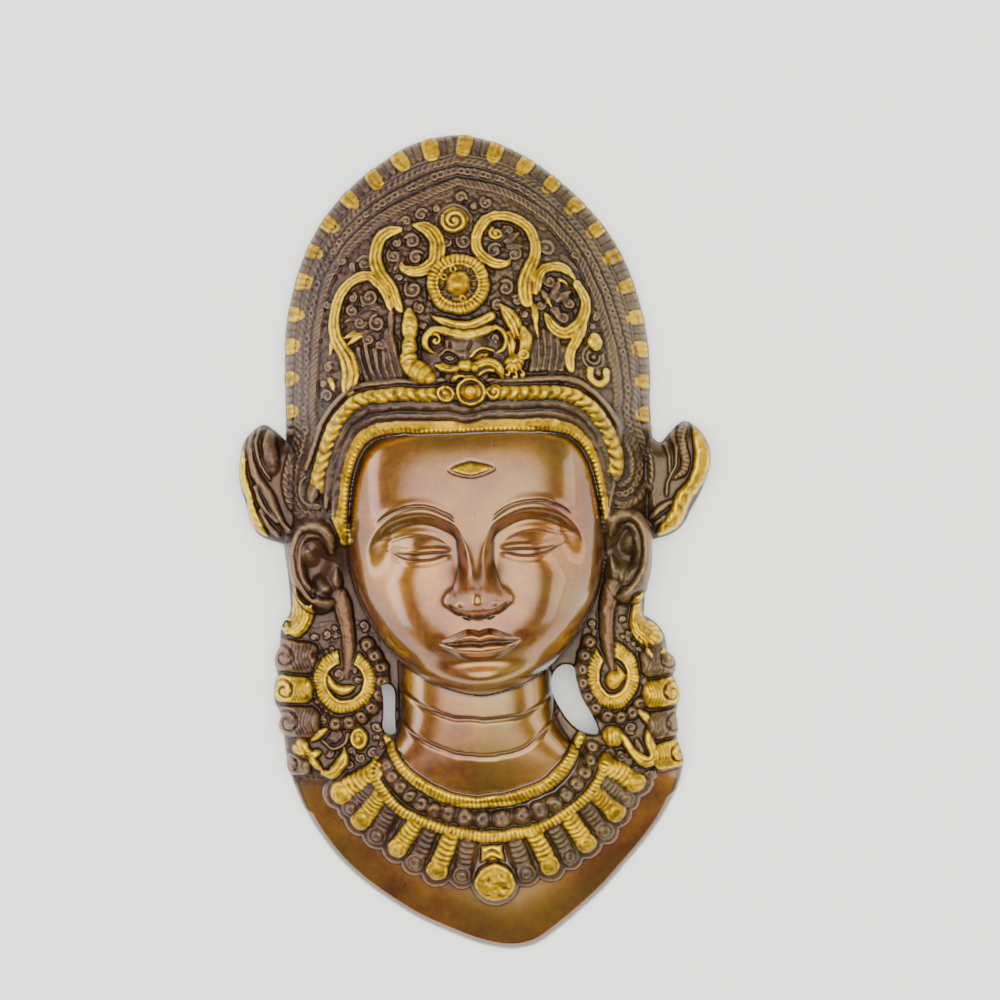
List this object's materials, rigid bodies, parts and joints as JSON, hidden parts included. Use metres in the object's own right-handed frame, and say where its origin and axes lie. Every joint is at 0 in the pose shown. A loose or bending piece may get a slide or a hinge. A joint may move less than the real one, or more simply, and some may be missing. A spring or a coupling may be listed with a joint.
{
  "type": "crowned deity wall mask",
  "caption": "Hollow bronze wall mask of a crowned deity: tall ornate crown, calm face, long-lobed ears with earrings, side locks, necklace with pendants and a plain shoulder plate.",
  "frame": {"origin": "middle of the mask's bounding box, on the plane of its flat back rim", "axes": "+Z out of the face, towards the viewer of a hung mask; +Y up the mask to the tip of its crown; +X to that viewer's right"},
  "size_m": [0.202, 0.35, 0.073],
  "materials": {
    "patinated_bronze": "cast bronze with a dark brown patina, gold paint on the raised ornament, and clear glossy lacquer over polished metal on the face, neck and shoulders"
  },
  "bodies": {
    "root": {"mask": "patinated_bronze"}
  },
  "joints": []
}
